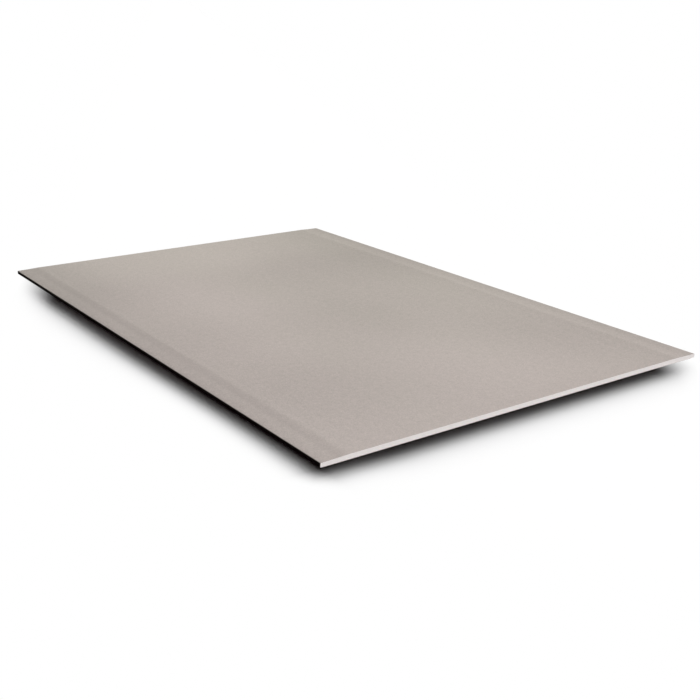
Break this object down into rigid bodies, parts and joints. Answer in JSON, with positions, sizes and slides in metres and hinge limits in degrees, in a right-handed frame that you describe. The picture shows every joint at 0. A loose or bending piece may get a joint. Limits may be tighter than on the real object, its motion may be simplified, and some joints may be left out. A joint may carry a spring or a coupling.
{
  "type": "drywall sheet",
  "caption": "Flat gypsum board: grey face paper wrapped round two recessed long edges, square-cut ends showing the pale core, papered back. Lines walls and ceilings.",
  "frame": {"origin": "centre of the back face, on the plane that the sheet lies on", "axes": "+X along the length, parallel to the recessed edges; +Y across the width; +Z out of the face, upwards"},
  "size_m": [1.8, 1.2, 0.0125],
  "materials": {
    "gypsum": "matt, porous cut gypsum",
    "face_paper": "smooth matt warm grey paper",
    "back_paper": "rougher grey-brown recycled paper"
  },
  "bodies": {
    "root": {"gypsum_core": "gypsum", "face_paper": "face_paper", "back_paper": "back_paper"}
  },
  "joints": []
}
